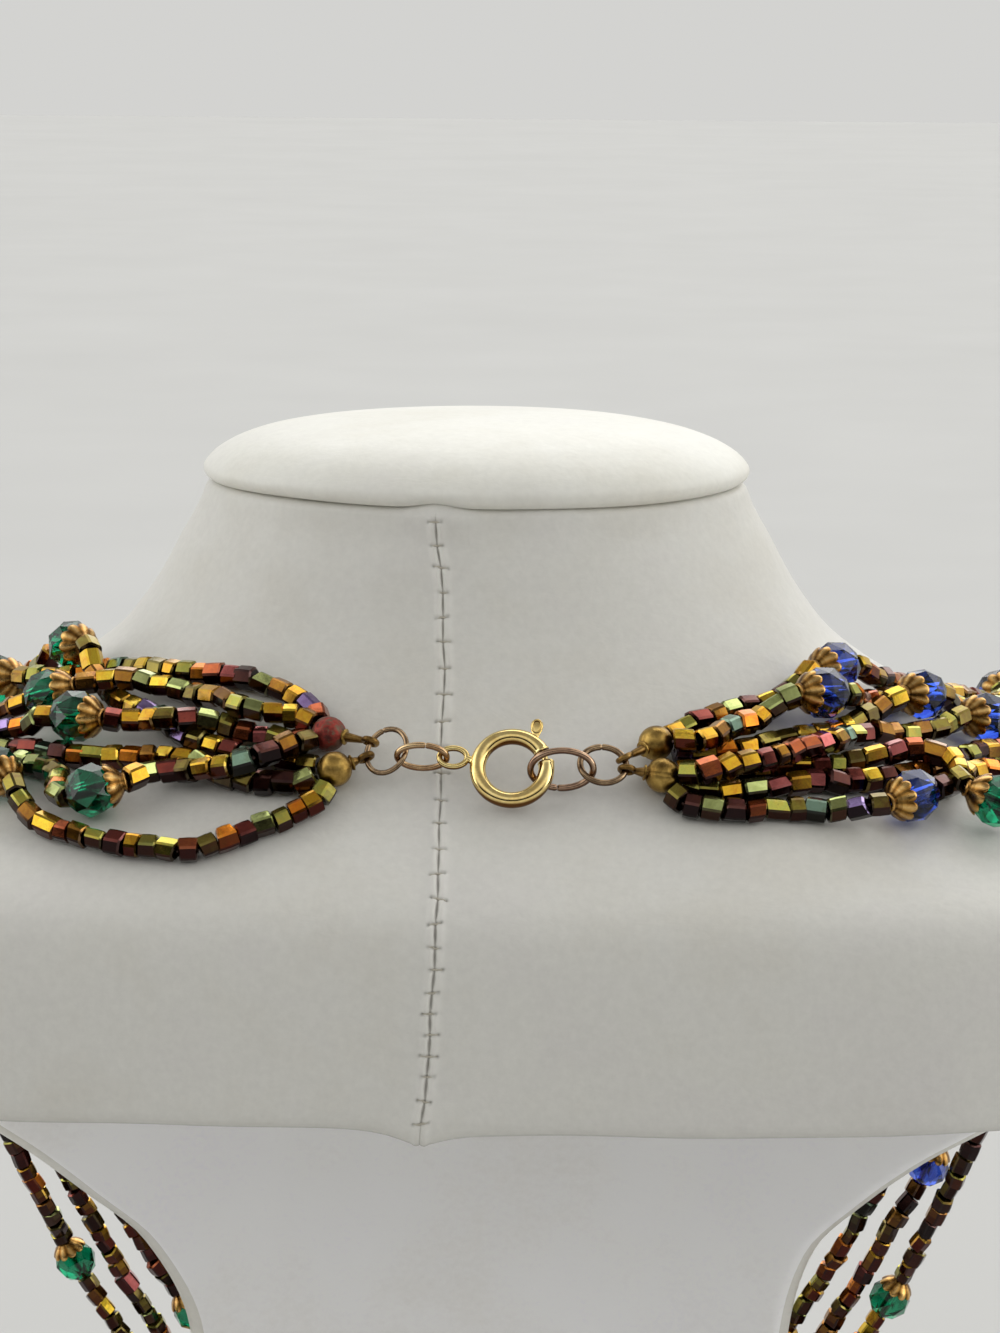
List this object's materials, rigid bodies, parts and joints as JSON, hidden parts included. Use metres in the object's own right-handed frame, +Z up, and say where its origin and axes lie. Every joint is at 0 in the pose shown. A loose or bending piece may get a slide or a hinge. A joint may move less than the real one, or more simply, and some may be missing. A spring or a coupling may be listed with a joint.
{
  "type": "layered beaded necklace on a neck bust",
  "caption": "Layered strands of metallic seed beads and faceted glass beads, closed by a spring-ring clasp, worn on a white leatherette neck bust.",
  "frame": {"origin": "middle of the stand, on the underside of the bust's foot board", "axes": "+Z up the bust, -Y out of the nape where the clasp is, +Y out of the chest, +X to the right of someone looking at the nape"},
  "size_m": [0.196, 0.138, 0.2474],
  "materials": {
    "leatherette": "satin",
    "cap_leatherette": "satin",
    "red_copper": "corroded",
    "old_brass": "antique",
    "bright_brass": "polished",
    "dull_bronze": "dull",
    "rose_brass": "polished, worn",
    "seed_beads": "metallic iris coating",
    "glass_green": "fire polished",
    "glass_blue": "fire polished"
  },
  "bodies": {
    "necklace_on_bust": {"bust_body": "leatherette", "bust_cap": "cap_leatherette", "bust_foot": "leatherette", "tip_lu": "red_copper", "tip_ll": "old_brass", "tip_ru": "old_brass", "tip_rl": "old_brass", "jump_left": "dull_bronze", "oval_left": "rose_brass", "link_right_1": "rose_brass", "link_right_2": "rose_brass", "clasp_ring": "bright_brass", "strand_1": "seed_beads", "glass_1_01": "glass_green", "glass_1_02": "glass_green", "glass_1_03": "glass_green", "glass_1_06": "glass_blue", "glass_1_07": "glass_blue", "glass_1_08": "glass_blue", "strand_2": "seed_beads", "glass_2_01": "glass_green", "glass_2_02": "glass_green", "glass_2_03": "glass_green", "glass_2_07": "glass_blue", "glass_2_08": "glass_blue", "glass_2_09": "glass_blue", "strand_3": "seed_beads", "glass_3_01": "glass_green", "glass_3_02": "glass_green", "glass_3_03": "glass_green", "glass_3_07": "glass_blue", "glass_3_08": "glass_blue", "glass_3_09": "glass_blue", "strand_4": "seed_beads", "glass_4_01": "glass_green", "glass_4_02": "glass_green", "glass_4_03": "glass_green", "glass_4_07": "glass_blue", "glass_4_08": "glass_blue", "glass_4_09": "glass_blue", "strand_5": "seed_beads", "glass_5_01": "glass_green", "glass_5_02": "glass_green", "glass_5_08": "glass_blue", "glass_5_09": "glass_blue", "strand_6": "seed_beads", "glass_6_01": "glass_green", "glass_6_02": "glass_green", "glass_6_10": "glass_blue", "glass_6_11": "glass_blue", "strand_7": "seed_beads", "glass_7_01": "glass_green", "glass_7_02": "glass_green", "glass_7_09": "glass_green", "glass_7_10": "glass_green"},
    "clasp_lever": {"clasp_gate": "bright_brass"}
  },
  "joints": [
    {"name": "clasp_lever_slide", "type": "hinge", "parent": "necklace_on_bust", "child": "clasp_lever", "pos_m": [0.00659, -0.05095, 0.21145], "axis": [0, -0.809, 0.5878], "range_deg": [0, 28], "stiffness_Nm_per_rad": 0.004}
  ]
}
